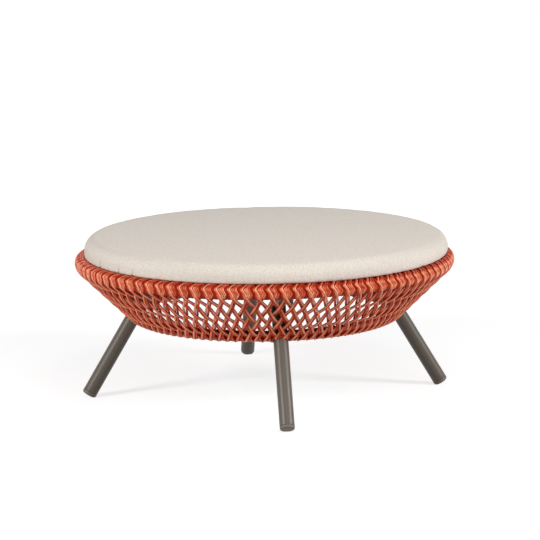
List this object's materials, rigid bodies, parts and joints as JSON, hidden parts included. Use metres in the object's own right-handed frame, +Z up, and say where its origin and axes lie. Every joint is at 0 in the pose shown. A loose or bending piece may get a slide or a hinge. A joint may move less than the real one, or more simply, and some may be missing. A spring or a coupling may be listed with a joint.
{
  "type": "outdoor ottoman footstool",
  "caption": "Round outdoor footstool: a loose padded round cushion in an open-woven fibre bowl on splayed round tube legs.",
  "frame": {"origin": "on the floor, below the centre of the bowl", "axes": "+Z up; the legs stand on the X and Y axes; -Y is the front, where one leg comes towards the viewer"},
  "size_m": [0.84, 0.84, 0.3623],
  "materials": {
    "powder_coated_leg": "satin",
    "frame_tube": "satin",
    "woven_fibre": "matte",
    "glide_plastic": "matte",
    "deck_webbing": "matte",
    "cushion_fabric": "matte",
    "cushion_foam": "matte",
    "base_cloth": "matte",
    "zip_plastic": "satin"
  },
  "bodies": {
    "frame": {"rim_tube": "frame_tube", "rim_wrap": "woven_fibre", "basket_weave": "woven_fibre", "deck_bar_long": "powder_coated_leg", "deck_bar_back": "powder_coated_leg", "deck_bar_front": "powder_coated_leg", "leg_right": "powder_coated_leg", "leg_back": "powder_coated_leg", "leg_left": "powder_coated_leg", "leg_front": "powder_coated_leg", "foot_glide_right": "glide_plastic", "foot_glide_back": "glide_plastic", "foot_glide_left": "glide_plastic", "foot_glide_front": "glide_plastic", "lower_hoop_1": "frame_tube", "lower_hoop_2": "frame_tube", "lower_hoop_3": "frame_tube", "lower_hoop_4": "frame_tube", "lower_hoop_wrap_1": "woven_fibre", "lower_hoop_wrap_2": "woven_fibre", "lower_hoop_wrap_3": "woven_fibre", "lower_hoop_wrap_4": "woven_fibre", "deck_belt_x_1": "deck_webbing", "deck_belt_x_2": "deck_webbing", "deck_belt_x_3": "deck_webbing", "deck_belt_x_4": "deck_webbing", "deck_belt_x_5": "deck_webbing", "deck_belt_y_1": "deck_webbing", "deck_belt_y_2": "deck_webbing", "deck_belt_y_3": "deck_webbing", "deck_belt_y_4": "deck_webbing", "deck_belt_y_5": "deck_webbing"},
    "cushion": {"cushion_cover": "cushion_fabric", "cushion_foam": "cushion_foam", "cushion_base_back": "base_cloth", "cushion_base_front": "base_cloth", "zip_tape": "zip_plastic"},
    "slider": {"zip_slider": "zip_plastic"}
  },
  "joints": [
    {"name": "cushion_lift", "type": "slide", "parent": "frame", "child": "cushion", "axis": [0, 0, 1], "range_m": [0, 0.15]},
    {"name": "zip_run", "type": "slide", "parent": "cushion", "child": "slider", "axis": [1, 0, 0], "range_m": [0, 0.512]}
  ]
}
